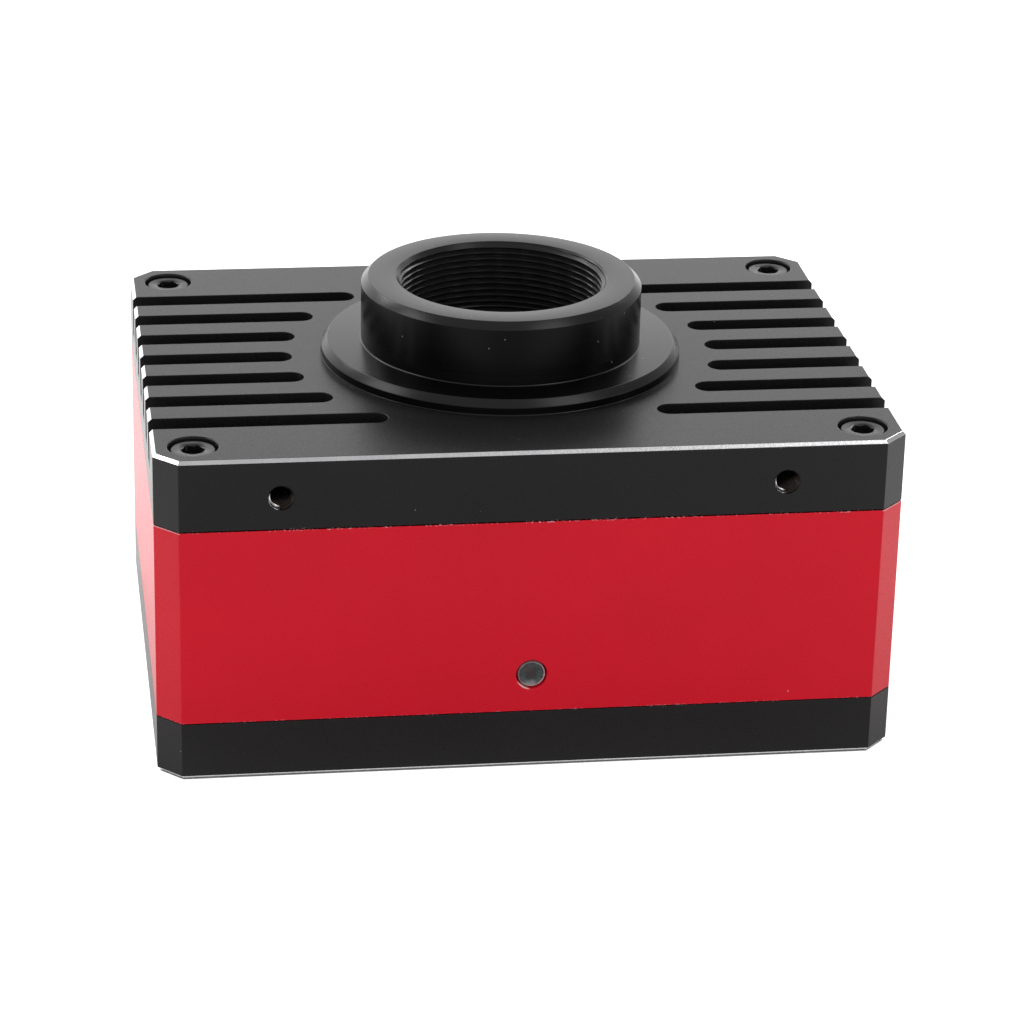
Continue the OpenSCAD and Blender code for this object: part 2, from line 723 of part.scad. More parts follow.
module usb_insert() color([0.12, 0.2, 0.5])
    translate([usb_x, 0, main_board_z - usb_size[2] / 2]) {
        block([5.6, 8, 3.2], [0, port_face_y - 5, -3.4]);
        block([5, 7, 1.4], [0, port_face_y - 5.5, 2.6]);
    }

module power_jack() color([0.1, 0.1, 0.1]) difference() {
    z = main_board_z - jack_size[2];
    union() {
        block(jack_size, [jack_x, body_d / 2 - wall - 0.3 - jack_size[1] / 2, z]);
        translate([jack_x, port_face_y, z + jack_size[2] / 2])
            rotate([90, 0, 0]) cylinder(d = jack_nose_d, h = wall + 1);
    }
    translate([jack_x, port_face_y + cut, z + jack_size[2] / 2])
        rotate([90, 0, 0]) cylinder(d = 6.3, h = 9.5 + cut);
}

module power_jack_pin() color([0.8, 0.8, 0.8])
    translate([jack_x, port_face_y - 1.5, main_board_z - jack_size[2] / 2])
        rotate([90, 0, 0]) cylinder(d = 2, h = 8);

module flex_connectors() color([0.85, 0.82, 0.7]) {
    block([3, 12, 0.8], [-14, 0, sensor_board_z + board_t]);
    block([3, 12, 1.6], [-25, 0, main_board_z + board_t]);
}

// Flat cable from the sensor board, over the chamber's rim and down to the main board.
module sensor_flex() color([0.75, 0.45, 0.1]) {
    t = 0.2;
    run_z = chamber_z + chamber_h - 0.35;
    start_x = -15.5;
    drop_x = -25.1;
    end_z = main_board_z + board_t + 1.6;
    translate([drop_x, -5, run_z]) cube([start_x - drop_x, 10, t]);
    translate([drop_x, -5, end_z]) cube([t, 10, run_z + t - end_z]);
}

module tec_leads() color([0.7, 0.1, 0.1])
    for (side = [-1, 1])
        wire([[tec_w / 2, side * 3, sink_top_z + 0.6], [25, side * 3, sink_top_z + 0.6],
            [25, side * 3, main_board_z]], 0.9);

module fan_connector() color([0.9, 0.9, 0.88])
    block([6, 4, 4], [-30, -8, main_board_z - 4]);

module fan_lead() color([0.1, 0.1, 0.1])
    wire([[-fan_w / 2, -8, 8.1], [-30, -8, 8.1], [-30, -8, main_board_z - 4]], 1.4);

// ---------------------------------------------------------------- parts

top_cover();
body_shell();
rear_cover();
c_mount_nose();
nose_o_ring();
top_cover_screws();
rear_cover_screws();
top_gasket();
rear_gasket();
status_light_pipe();
status_led();
window_glass();
window_o_ring();
window_retaining_ring();
image_sensor();
sensor_die();
sensor_cover_glass();
sensor_board();
sensor_board_screws();
thermal_pad();
cold_finger();
temperature_probe();
tec_cold_plate();
tec_pellets();
tec_hot_plate();
chamber_insulation();
desiccant_tablets();
chamber_housing();
chamber_gaskets();
chamber_screws();
heat_sink();
fan_frame();
fan_stator();
fan_bearings();
fan_shaft();
fan_rotor();
fan_magnet();
fan_screws();
main_board();
board_screws();
processor();
memory_chips();
inductors();
capacitors();
usb_socket();
usb_insert();
power_jack();
power_jack_pin();
flex_connectors();
sensor_flex();
tec_leads();
fan_lead();
fan_connector();
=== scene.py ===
"""Looks of a cooled astronomy camera: anodised housing, turned nose, screws, fan and ports.

All lengths are in metres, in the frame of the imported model: +Z runs along the optical axis
out of the nose, and the front with the status light faces -Y.
"""

import json
import math

import bmesh
import bpy
import numpy as np
from mathutils import Matrix, Vector


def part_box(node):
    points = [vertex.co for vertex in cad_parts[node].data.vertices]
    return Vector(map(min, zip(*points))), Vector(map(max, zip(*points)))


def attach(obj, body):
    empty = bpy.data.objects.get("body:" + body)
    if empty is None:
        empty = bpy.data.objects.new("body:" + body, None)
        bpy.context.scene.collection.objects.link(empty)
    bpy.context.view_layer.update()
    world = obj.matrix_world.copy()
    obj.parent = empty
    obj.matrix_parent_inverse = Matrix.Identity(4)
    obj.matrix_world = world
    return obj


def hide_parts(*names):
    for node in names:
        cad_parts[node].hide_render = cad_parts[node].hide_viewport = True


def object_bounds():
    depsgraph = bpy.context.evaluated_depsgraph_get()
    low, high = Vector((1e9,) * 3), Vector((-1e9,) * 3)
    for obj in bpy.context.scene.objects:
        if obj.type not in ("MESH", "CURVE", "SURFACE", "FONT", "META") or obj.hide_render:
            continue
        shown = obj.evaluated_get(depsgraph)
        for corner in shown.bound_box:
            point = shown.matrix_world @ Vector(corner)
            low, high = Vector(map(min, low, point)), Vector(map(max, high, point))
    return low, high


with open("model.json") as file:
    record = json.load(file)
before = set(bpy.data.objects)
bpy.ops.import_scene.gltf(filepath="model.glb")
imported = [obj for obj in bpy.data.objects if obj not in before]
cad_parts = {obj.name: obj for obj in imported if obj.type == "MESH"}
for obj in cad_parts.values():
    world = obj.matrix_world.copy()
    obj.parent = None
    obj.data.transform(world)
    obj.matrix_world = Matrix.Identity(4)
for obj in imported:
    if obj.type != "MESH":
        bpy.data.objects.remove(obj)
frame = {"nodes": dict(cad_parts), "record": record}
cad_box = [list(corner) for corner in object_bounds()]

MM = 0.001
cad = frame["nodes"]


def node_low(name):
    """Lowest corner of a CAD node's box."""
    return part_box(name)[0]


def node_high(name):
    """Highest corner of a CAD node's box."""
    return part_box(name)[1]


# ------------------------------------------------------------------ sizes

# Housing: half its width and depth, its front, how much each corner is cut back along both
# sides, and the heights where its three parts meet
HALF_X, HALF_Y = cad_box[1][:2]
FRONT_Y = cad_box[0][1]
CORNER_CUT = 2.8 * MM
REAR_SEAM_Z = node_high("rear_cover")[2]
SEAM_Z = node_high("body_shell")[2]
HOUSING_TOP = node_high("top_cover")[2]

# Wedge-shaped joints between those parts, and the bright bevel of the outer rims
FRONT_JOINT = 0.14 * MM
REAR_JOINT = 0.08 * MM
JOINT_DEPTH = 0.3 * MM
RIM_CUT = 0.4 * MM

# Status light, and the painted highlight round its bore
LIGHT_Z = REAR_SEAM_Z + 4.7 * MM
LIGHT_R = (node_high("status_light_pipe")[0] - node_low("status_light_pipe")[0]) / 2
PAINTED_GLINT_R = LIGHT_R + 0.22 * MM
PAINTED_GLINT_HALF = 0.05 * MM
PIN = 0.02  # share of the radius left open at the pipe's two ends, before they are filled

# Threads: the tapped holes in the front, and the nose's, with 32 turns to the inch
FRONT_HOLE_X = 29.5 * MM
FRONT_HOLE_Z = HOUSING_TOP - 4.8 * MM
THREAD_PITCH = 25.4 * MM / 32
THREAD_ROOT = 12.7 * MM
THREAD_CREST = 12.27 * MM
THREAD_START = 0.65  # phase of the turn at +X, at the mouth
MOUTH_RADIUS = 12.9 * MM
NOSE_COLUMNS = 240

# How finely corners are rounded, and which edges take a bevel: those sharper than the angle,
# beside faces wider than the room times the bevel's width
CURVE_STEPS = 4
BEVEL_SEGMENTS = 2
SHARP_ANGLE = math.radians(28)
BEVEL_ROOM = 2.2


# ------------------------------------------------------------------ node trees

class Tree:
    """Short names for adding and joining nodes in one node tree."""

    def __init__(self, tree):
        self.tree = tree

    def link(self, source, target):
        """Joins an output socket to an input socket."""
        self.tree.links.new(source, target)

    def put(self, value, socket):
        """Feeds an input socket from another socket, or sets it to a constant."""
        if isinstance(value, bpy.types.NodeSocket):
            self.link(value, socket)
        else:
            socket.default_value = value

    def add(self, kind, **settings):
        """Adds a node, sets its properties, and its inputs from a dictionary named inputs."""
        inputs = settings.pop("inputs", {})
        made = self.tree.nodes.new(kind)
        for key, value in settings.items():
            setattr(made, key, value)
        for key, value in inputs.items():
            self.put(value, made.inputs[key])
        return made

    def place(self):
        """The shaded point in the model's frame."""
        return self.add("ShaderNodeTexCoord").outputs["Object"]

    def parts(self, vector):
        """X, Y and Z of a vector, as a list of sockets."""
        return list(self.add("ShaderNodeSeparateXYZ", inputs={0: vector}).outputs)

    def math(self, operation, a, b=0.0, clamp=False):
        """One arithmetic step on two numbers or sockets."""
        made = self.add("ShaderNodeMath", operation=operation, use_clamp=clamp,
                        inputs={0: a, 1: b})
        return made.outputs[0]

    def times(self, a, b):
        """Product of two numbers or sockets."""
        return self.math("MULTIPLY", a, b)

    def plus(self, a, b):
        """Sum of two numbers or sockets."""
        return self.math("ADD", a, b)

    def minus(self, a, b):
        """First number or socket less the second."""
        return self.math("SUBTRACT", a, b)

    def length(self, a, b):
        """Root of the sum of two squares."""
        return self.math("SQRT", self.plus(self.times(a, a), self.times(b, b)))

    def ramp(self, value, low, high, to_low=0.0, to_high=1.0, kind="LINEAR"):
        """Maps value from the span low..high to to_low..to_high, and clamps it."""
        made = self.add("ShaderNodeMapRange", interpolation_type=kind, inputs={
            "Value": value, "From Min": low, "From Max": high,
            "To Min": to_low, "To Max": to_high})
        return made.outputs["Result"]

    def noise(self, vector, scale, detail, roughness=0.5):
        """Fractal noise, from 0 to 1 and mostly near the middle."""
        made = self.add("ShaderNodeTexNoise", inputs={
            "Vector": vector, "Scale": scale, "Detail": detail, "Roughness": roughness})
        return made.outputs["Fac"]

    def mix(self, factor, a, b):
        """Blends from colour a to colour b. A constant colour is a tuple of three numbers."""
        made = self.add("ShaderNodeMix", data_type="RGBA")
        for socket, value in ((made.inputs[0], factor), (made.inputs[6], a), (made.inputs[7], b)):
            self.put((*value, 1.0) if isinstance(value, tuple) else value, socket)
        return made.outputs[2]


def new_group(name, inputs, outputs):
    """Empty shader node group with float inputs (name: default) and named float outputs."""
    group = bpy.data.node_groups.new(name, "ShaderNodeTree")
    for key, default in inputs.items():
        socket = group.interface.new_socket(key, in_out="INPUT", socket_type="NodeSocketFloat")
        socket.default_value = default
    for key in outputs:
        group.interface.new_socket(key, in_out="OUTPUT", socket_type="NodeSocketFloat")
    tree = Tree(group)
    return group, tree, tree.add("NodeGroupInput"), tree.add("NodeGroupOutput")


def use_group(tree, group, **inputs):
    """Places a node group with its own values."""
    made = tree.add("ShaderNodeGroup")
    made.node_tree = group
    for key, value in inputs.items():
        made.inputs[key.replace("_", " ")].default_value = value
    return made


def new_material(name, **constants):
    """Material with one Principled BSDF whose named inputs get constant values."""
    material = bpy.data.materials.new(name)
    material.use_nodes = True
    shader = material.node_tree.nodes["Principled BSDF"]
    for key, value in constants.items():
        socket = shader.inputs[key.replace("_", " ")]
        socket.default_value = (*value, 1.0) if isinstance(value, tuple) else value
    tree = Tree(material.node_tree)
    return material, tree, shader


def set_bump(tree, shader, height, distance):
    """Joins a height to the shader's normal through a bump of the given depth in metres."""
    bump = tree.add("ShaderNodeBump", inputs={
        "Strength": 1.0, "Distance": distance, "Height": height})
    tree.link(bump.outputs[0], shader.inputs["Normal"])


def link_mesh(name, mesh, materials):
    """New object at the origin with the given materials."""
    piece = bpy.data.objects.new(name, mesh)
    bpy.context.scene.collection.objects.link(piece)
    for material in materials:
        mesh.materials.append(material)
    return piece


# ------------------------------------------------------------------ camera

CAMERA_PLACE = (-0.0596, -0.4229, 0.2005)
CAMERA_TURN = -8.286  # degrees about +Z from looking along +Y
CAMERA_TILT = -23.05  # degrees below the horizon
CAMERA_ROLL = 1.369
CAMERA_LENS = 130.34  # millimetres on a sensor 36 mm wide


def make_camera():
    """Camera turned about Z, tilted down and rolled a little about its own axis."""
    data = bpy.data.cameras.new("camera")
    data.lens = CAMERA_LENS
    data.sensor_width = 36.0
    data.clip_start = 0.01
    data.clip_end = 50.0
    camera = bpy.data.objects.new("camera", data)
    bpy.context.scene.collection.objects.link(camera)
    turn = Matrix.Rotation(math.radians(CAMERA_TURN), 4, "Z")
    tilt = Matrix.Rotation(math.radians(90 + CAMERA_TILT), 4, "X")
    roll = Matrix.Rotation(math.radians(CAMERA_ROLL), 4, "Z")
    camera.matrix_world = Matrix.Translation(CAMERA_PLACE) @ turn @ tilt @ roll
    bpy.context.scene.camera = camera


make_camera()


# ------------------------------------------------------------------ light and floor

# Brightness of the surroundings in each direction
SKY_TOP = 0.34
SKY_FRONT = 1.2
SKY_BACK = 1.8
SKY_RIGHT = 0.25
SKY_LEFT = 0.42

FLOOR_SIZE = 12.0  # half the floor's side
FLOOR_Z = -0.15 * MM
FLOOR_LIFT = 0.8  # light the floor adds where the camera sees it
GLOW_BESIDE = 0.55  # light it adds in reflections: to both sides,
GLOW_BEHIND = 0.42  # behind the part's front,
GLOW_ALONG = 0.8  # and in a strip along each side, growing backwards
# Each span runs over the distance beyond the part's outline, negative under the part
LIFT_SPAN = (-0.4 * MM, -0.2 * MM)
GLOW_SPAN = (-0.38 * MM, -0.32 * MM)
OPEN_SPAN = (-2 * MM, -3 * MM)  # here the floor starts to let light through
SIN_45 = 0.7071


def softbox(name, place, aim, width, height, radiance):
    """White rectangular area light at place, facing aim. Its power is radiance times pi times
    its area, so its surface has that radiance."""
    data = bpy.data.lights.new(name, "AREA")
    data.shape = "RECTANGLE"
    data.size = width
    data.size_y = height
    data.energy = radiance * math.pi * width * height
    light = bpy.data.objects.new(name, data)
    bpy.context.scene.collection.objects.link(light)
    look = Vector(aim) - Vector(place)
    light.rotation_euler = look.to_track_quat("-Z", "Y").to_euler()
    light.location = place


def make_world():
    """Surroundings brightest low at the back, and dimmer overhead, on the near side and at both
    sides. The brightness is the product of four smooth steps over the ray's direction."""
    world = bpy.data.worlds.new("studio")
    bpy.context.scene.world = world
    world.use_nodes = True
    tree = Tree(world.node_tree)
    background = world.node_tree.nodes["Background"]
    background.inputs["Color"].default_value = (1, 1, 1, 1)
    x, y, z = tree.parts(tree.add("ShaderNodeTexCoord").outputs["Generated"])
    strength = tree.ramp(z, 0.25, 0.8, 1.0, SKY_TOP, "SMOOTHSTEP")
    for step in (tree.ramp(y, -0.9, 0.9, SKY_FRONT, SKY_BACK, "SMOOTHSTEP"),
                 tree.ramp(x, 0.3, 0.85, 1.0, SKY_RIGHT, "SMOOTHSTEP"),
                 tree.ramp(x, -0.3, -0.85, 1.0, SKY_LEFT, "SMOOTHSTEP")):
        strength = tree.times(strength, step)
    tree.link(strength, background.inputs["Strength"])


def make_floor():
    """Pale floor a hair below the part. The camera's own rays see it lifted to white, save in
    the thin gap under the part. Reflections see it brighter beside the part, and from just in
    front of the part backwards. It can't be seen from below, and it lets light through to the
    part's underside. Past is the distance beyond the part's outline, negative under it: the
    largest of |x| and |y| less their half sizes, and |x| + |y| less the corner's, times 0.7071."""
    mesh = bpy.data.meshes.new("floor")
    corners = [(i * FLOOR_SIZE, j * FLOOR_SIZE, FLOOR_Z)
               for i, j in ((-1, -1), (1, -1), (1, 1), (-1, 1))]
    mesh.from_pydata(corners, [], [(0, 1, 2, 3)])
    material, tree, shader = new_material(
        "floor_white", Base_Color=(0.8, 0.8, 0.8), Roughness=0.9, Specular_IOR_Level=0.0,
        Emission_Color=(1.0, 1.0, 1.0))
    x, y = tree.parts(tree.place())[:2]
    across = tree.math("ABSOLUTE", x)
    along = tree.math("ABSOLUTE", y)
    corner = tree.times(SIN_45, tree.minus(tree.plus(across, along),
                                           HALF_X + HALF_Y - CORNER_CUT))
    past = tree.math("MAXIMUM", corner, tree.math(
        "MAXIMUM", tree.minus(across, HALF_X), tree.minus(along, HALF_Y)))
    beside = tree.ramp(across, HALF_X - 4 * MM, HALF_X + 46 * MM, 0.0, GLOW_BESIDE)
    behind = tree.ramp(y, -HALF_Y - 12 * MM, -HALF_Y - 1 * MM, 0.0, GLOW_BEHIND)
    strip = tree.times(tree.ramp(across, HALF_X - 6 * MM, HALF_X - 2 * MM),
                       tree.ramp(across, HALF_X + 30 * MM, HALF_X + 15 * MM))
    along_side = tree.times(strip, tree.ramp(y, -10 * MM, 90 * MM, 0.0, GLOW_ALONG))
    ray = tree.add("ShaderNodeLightPath").outputs
    seen = tree.times(ray["Is Camera Ray"], tree.times(tree.ramp(past, *LIFT_SPAN), FLOOR_LIFT))
    mirrored = tree.times(ray["Is Glossy Ray"], tree.plus(along_side, tree.plus(beside, behind)))
    mirrored = tree.times(mirrored, tree.ramp(past, *GLOW_SPAN))
    tree.link(tree.plus(seen, mirrored), shader.inputs["Emission Strength"])
    under = tree.times(tree.ramp(past, *OPEN_SPAN), tree.minus(1.0, ray["Is Camera Ray"]))
    back = tree.add("ShaderNodeNewGeometry").outputs["Backfacing"]
    clear = tree.add("ShaderNodeMixShader", inputs={
        0: tree.math("MAXIMUM", back, under), 1: shader.outputs[0],
        2: tree.add("ShaderNodeBsdfTransparent").outputs[0]})
    tree.link(clear.outputs[0], material.node_tree.nodes["Material Output"].inputs["Surface"])
    floor = link_mesh("floor", mesh, [material])


def make_lights():
    """Softboxes high on the left, overhead to the right, low on the right, and two behind."""
    centre = (0, 0, 0.03)
    softbox("left", (-0.78, 0.12, 0.72), centre, 0.36, 0.32, 4.2)
    softbox("overhead", (0.5, -0.4, 0.8), centre, 0.34, 0.5, 2.3)
    softbox("right", (0.93, -0.22, 0.42), centre, 0.2, 0.2, 3.2)
    softbox("back_left", (-0.62, 0.72, 0.75), (-0.15, 0.03, 0.0), 0.4, 0.4, 6.0)
    softbox("back_right", (0.7, 0.75, 0.75), (0.15, 0.03, 0.0), 0.4, 0.4, 6.0)


make_world()
make_floor()
make_lights()
bpy.context.scene.view_settings.view_transform = "Standard"


# ------------------------------------------------------------------ shared shader effects

def make_blast_grain():
    """Bead-blast grain: two sizes of noise, as a height and as a slow cloudy tone."""
    group, tree, given, result = new_group(
        "blast_grain", {"Grains per mm": 7.0}, ["Height", "Tone"])
    place = tree.place()
    scale = tree.times(given.outputs[0], 1000.0)
    tree.link(tree.noise(place, scale, 2.0, 0.6), result.inputs["Height"])
    tree.link(tree.noise(place, 70.0, 4.0, 0.55), result.inputs["Tone"])
    return group


def make_dust():
    """Sparse pale specks: small balls at the centres of some Voronoi cells."""
    group, tree, given, result = new_group(
        "dust_specks", {"Cells per m": 300.0, "Size": 0.06, "Share": 0.12}, ["Mask"])
    cells = tree.add("ShaderNodeTexVoronoi", inputs={
        "Vector": tree.place(), "Scale": given.outputs["Cells per m"]})
    near = tree.math("LESS_THAN", cells.outputs["Distance"], given.outputs["Size"])
    parts = tree.add("ShaderNodeSeparateColor", inputs={"Color": cells.outputs["Color"]})
    picked = tree.math("LESS_THAN", parts.outputs[0], given.outputs["Share"])
    tree.link(tree.times(near, picked), result.inputs["Mask"])
    return group


def make_lathe_lines():
    """Turning marks: noise that changes quickly with radius and height, slowly with angle."""
    group, tree, given, result = new_group(
        "lathe_lines", {"Lines per mm": 9.0}, ["Height"])
    x, y, z = tree.parts(tree.place())
    scale = tree.times(given.outputs[0], 1000.0)
    vector = tree.add("ShaderNodeCombineXYZ", inputs={
        "X": tree.times(tree.length(x, y), scale), "Y": tree.times(z, scale),
        "Z": tree.times(x, 60.0)})
    tree.link(tree.noise(vector.outputs[0], 1.0, 3.0, 0.7), result.inputs["Height"])
    return group


def make_milled_streaks():
    """Cutter marks along a rim: noise drawn out along whichever way it is sampled slowly."""
    group, tree, given, result = new_group(
        "milled_streaks", {"Along": 120.0, "Across": 9000.0}, ["Height"])
    x, y, z = tree.parts(tree.place())
    vector = tree.add("ShaderNodeCombineXYZ", inputs={
        "X": tree.times(x, given.outputs["Along"]), "Y": tree.times(y, given.outputs["Along"]),
        "Z": tree.times(z, given.outputs["Across"])})
    tree.link(tree.noise(vector.outputs[0], 1.0, 3.0, 0.6), result.inputs["Height"])
    return group


def make_seam():
    """Painted joint shade and wear along a level edge. Gap is 1 where the height differs from
    Edge by less than Half gap. Nicks is 1 where it differs by less than Reach, and where a fine
    noise plus 0.45 times a slower noise's excess over 0.5 is above Share."""
    group, tree, given, result = new_group(
        "edge_wear_and_shade", {"Edge": 0.0, "Half gap": 0.00004, "Reach": 0.0001, "Share": 0.5},
        ["Gap", "Nicks"])
    place = tree.place()
    away = tree.math("ABSOLUTE", tree.minus(tree.parts(place)[2], given.outputs["Edge"]))
    gap = tree.math("LESS_THAN", away, given.outputs["Half gap"])
    near = tree.math("LESS_THAN", away, given.outputs["Reach"])
    fine = tree.noise(place, 4200.0, 2.0, 0.7)
    slow = tree.noise(place, 230.0, 2.0, 0.6)
    both = tree.plus(fine, tree.times(tree.minus(slow, 0.5), 0.45))
    high = tree.math("GREATER_THAN", both, given.outputs["Share"])
    tree.link(gap, result.inputs["Gap"])
    tree.link(tree.times(near, high), result.inputs["Nicks"])
    return group


def make_crests():
    """Worn crests of a thread about Z: 1 at the crest's radius, 0 a little deeper and beyond
    the bore, broken up by fine noise along the turns."""
    group, tree, given, result = new_group(
        "thread_crests", {"Crest": 0.01227, "Depth": 0.0001}, ["Mask"])
    place = tree.place()
    x, y = tree.parts(place)[:2]
    deep = tree.math("DIVIDE", tree.minus(tree.length(x, y), given.outputs["Crest"]),
                     given.outputs["Depth"])
    near = tree.math("SUBTRACT", 1.0, tree.math("ABSOLUTE", deep), clamp=True)
    broken = tree.ramp(tree.noise(place, 800.0, 3.0, 0.7), 0.42, 0.68, 0.3, 1.0)
    tree.link(tree.times(near, broken), result.inputs["Mask"])
    return group


GRAIN = make_blast_grain()
SEAM = make_seam()
CRESTS = make_crests()
DUST = make_dust()
LATHE = make_lathe_lines()
STREAKS = make_milled_streaks()


# ------------------------------------------------------------------ materials

def blasted(name, gloss, tones, grains, dust):
    """Blasted and anodised metal before its wear: a cloudy tone between two colours, grains
    (their share and colour) and dust (its group's values and its colour). Gives the material,
    tree and shader, and the colour that the wear is still to be blended into."""
    material, tree, shader = new_material(name, Specular_IOR_Level=gloss)
    grain = use_group(tree, GRAIN, Grains_per_mm=6.0)
    specks = use_group(tree, DUST, **dust[0])
    tone = tree.ramp(grain.outputs["Tone"], 0.3, 0.7)
    fine = tree.ramp(grain.outputs["Height"], 0.35, 0.65)
    colour = tree.mix(tone, *tones)
    colour = tree.mix(tree.times(fine, grains[0]), colour, grains[1])
    colour = tree.mix(specks.outputs["Mask"], colour, dust[1])
    tree.link(tree.ramp(fine, 0.0, 1.0, 0.27, 0.36), shader.inputs["Roughness"])
    set_bump(tree, shader, grain.outputs["Height"], 0.016 * MM)
    return material, tree, shader, colour


def black_anodised():
    """Blasted black anodise, with painted shade in the joints and bright nicks along the lower
    edge of the top cover and the upper edge of the rear cover."""
    material, tree, shader, colour = blasted(
        "black_anodised", 0.2, ((0.0095, 0.0092, 0.0098), (0.0125, 0.0122, 0.013)),
        (0.35, (0.02, 0.0197, 0.0215)),
        ({"Cells_per_m": 400.0, "Size": 0.03, "Share": 0.5}, (0.2, 0.2, 0.2)))
    seam = use_group(tree, SEAM, Edge=SEAM_Z, Half_gap=0.05 * MM, Reach=0.14 * MM, Share=0.7)
    rear = use_group(tree, SEAM, Edge=REAR_SEAM_Z, Half_gap=0.075 * MM, Reach=0.12 * MM,
                     Share=0.68)
    # Painted shade: the cover's edge at each joint is darkened where the wedge between the parts
    # lies in shade.
    joint = tree.math("MAXIMUM", seam.outputs["Gap"], rear.outputs["Gap"])
    colour = tree.mix(joint, colour, (0.002, 0.0015, 0.0015))
    worn = tree.math("MAXIMUM", seam.outputs["Nicks"], rear.outputs["Nicks"])
    colour = tree.mix(worn, colour, (0.16, 0.14, 0.14))
    tree.link(colour, shader.inputs["Base Color"])
    return material


def red_anodised():
    """Blasted red anodise, with painted shade in the joint at each end, bright nicks where the
    edges have lost their colour, bare metal where the upper edge crosses the cut corners, and
    a painted highlight on the edge of the status light's bore, low on the left."""
    material, tree, shader, colour = blasted(
        "red_anodised", 0.22, ((0.66, 0.002, 0.0165), (0.72, 0.0026, 0.019)),
        (0.4, (0.8, 0.0075, 0.029)),
        ({"Cells_per_m": 260.0, "Size": 0.018, "Share": 0.4}, (0.8, 0.5, 0.5)))
    # Painted shade in the joints: the wedge below the top cover and the joint at the rear cover
    # are darkened where shade falls.
    gap = use_group(tree, SEAM, Edge=SEAM_Z, Half_gap=0.12 * MM)
    upper = use_group(tree, SEAM, Edge=SEAM_Z - FRONT_JOINT, Half_gap=0.09 * MM,
                      Reach=0.09 * MM, Share=0.61)
    lower = use_group(tree, SEAM, Edge=REAR_SEAM_Z, Half_gap=0.03 * MM, Reach=0.1 * MM,
                      Share=0.62)
    joint = tree.math("MAXIMUM", gap.outputs["Gap"], lower.outputs["Gap"])
    colour = tree.mix(joint, colour, (0.012, 0.0015, 0.002))
    x, y, z = tree.parts(tree.place())
    around = tree.plus(tree.math("ABSOLUTE", x), tree.math("ABSOLUTE", y))
    corner = tree.math("GREATER_THAN", around, HALF_X + HALF_Y - CORNER_CUT - 0.1 * MM)
    bare = tree.times(upper.outputs["Gap"], corner)
    colour = tree.mix(tree.times(bare, 0.7), colour, (0.95, 0.55, 0.57))
    # Painted highlight: a pale arc on the edge of the light's bore, low on the left, where it
    # catches the light.
    up = tree.minus(z, LIGHT_Z)
    off_ring = tree.math("ABSOLUTE", tree.minus(tree.length(x, up), PAINTED_GLINT_R))
    ring = tree.math("LESS_THAN", off_ring, PAINTED_GLINT_HALF)
    low_left = tree.plus(tree.times(x, -0.57), tree.times(up, -0.82))
    painted_glint = tree.times(ring, tree.ramp(low_left, 1.6 * MM, 1.85 * MM))
    painted_glint = tree.times(painted_glint, tree.math("LESS_THAN", y, 0.0))
    colour = tree.mix(tree.times(painted_glint, 0.85), colour, (1.0, 0.72, 0.72))
    worn = tree.math("MAXIMUM", upper.outputs["Nicks"], lower.outputs["Nicks"])
    colour = tree.mix(worn, colour, (0.76, 0.3, 0.33))
    tree.link(colour, shader.inputs["Base Color"])
    return material


def bright_rim():
    """Bare aluminium of the bevels cut after anodising, with faint marks of the cutter."""
    material, tree, shader = new_material("bright_rim", Metallic=1.0)
    streaks = use_group(tree, STREAKS, Along=2500.0, Across=2500.0)
    broad = use_group(tree, STREAKS, Along=160.0, Across=160.0)
    fine = tree.ramp(streaks.outputs["Height"], 0.35, 0.65)
    tone = tree.ramp(broad.outputs["Height"], 0.35, 0.65)
    colour = tree.mix(tone, (0.84, 0.84, 0.86), (0.95, 0.95, 0.96))
    colour = tree.mix(tree.times(fine, 0.25), colour, (0.66, 0.66, 0.68))
    tree.link(colour, shader.inputs["Base Color"])
    tree.link(tree.ramp(fine, 0.0, 1.0, 0.2, 0.3), shader.inputs["Roughness"])
    set_bump(tree, shader, streaks.outputs["Height"], 0.008 * MM)
    return material


def turned_black(name, gloss):
    """Turned part in black anodise: faint lines round the axis and dust. It is greyer inside
    the bore, on chamfers, and on thread crests where handling has worn the colour thin."""
    material, tree, shader = new_material(name, Specular_IOR_Level=gloss)
    lines = use_group(tree, LATHE, Lines_per_mm=7.0)
    grain = use_group(tree, GRAIN, Grains_per_mm=7.0)
    dust = use_group(tree, DUST, Cells_per_m=520.0, Size=0.04, Share=0.55)
    crest = use_group(tree, CRESTS, Crest=THREAD_CREST, Depth=0.3 * MM)
    tone = tree.ramp(lines.outputs["Height"], 0.35, 0.65)
    colour = tree.mix(tone, (0.0012, 0.0012, 0.0014), (0.0022, 0.0022, 0.0024))
    colour = tree.mix(dust.outputs["Mask"], colour, (0.25, 0.25, 0.25))
    colour = tree.mix(crest.outputs["Mask"], colour, (0.034, 0.034, 0.036))
    x, y = tree.parts(tree.place())[:2]
    inside = tree.math("LESS_THAN", tree.length(x, y), THREAD_ROOT + 0.02 * MM)
    colour = tree.mix(tree.times(inside, 0.6), colour, (0.024, 0.024, 0.025))
    upward = tree.parts(tree.add("ShaderNodeNewGeometry").outputs["True Normal"])[2]
    chamfer = tree.ramp(tree.math("ABSOLUTE", tree.minus(upward, 0.71)), 0.2, 0.1)
    colour = tree.mix(tree.times(chamfer, 0.8), colour, (0.016, 0.016, 0.017))
    tree.link(colour, shader.inputs["Base Color"])
    rough = tree.ramp(lines.outputs["Height"], 0.35, 0.65, 0.23, 0.27)
    tree.link(rough, shader.inputs["Roughness"])
    both = tree.plus(tree.times(lines.outputs["Height"], 0.3), grain.outputs["Height"])
    set_bump(tree, shader, both, 0.005 * MM)
    return material


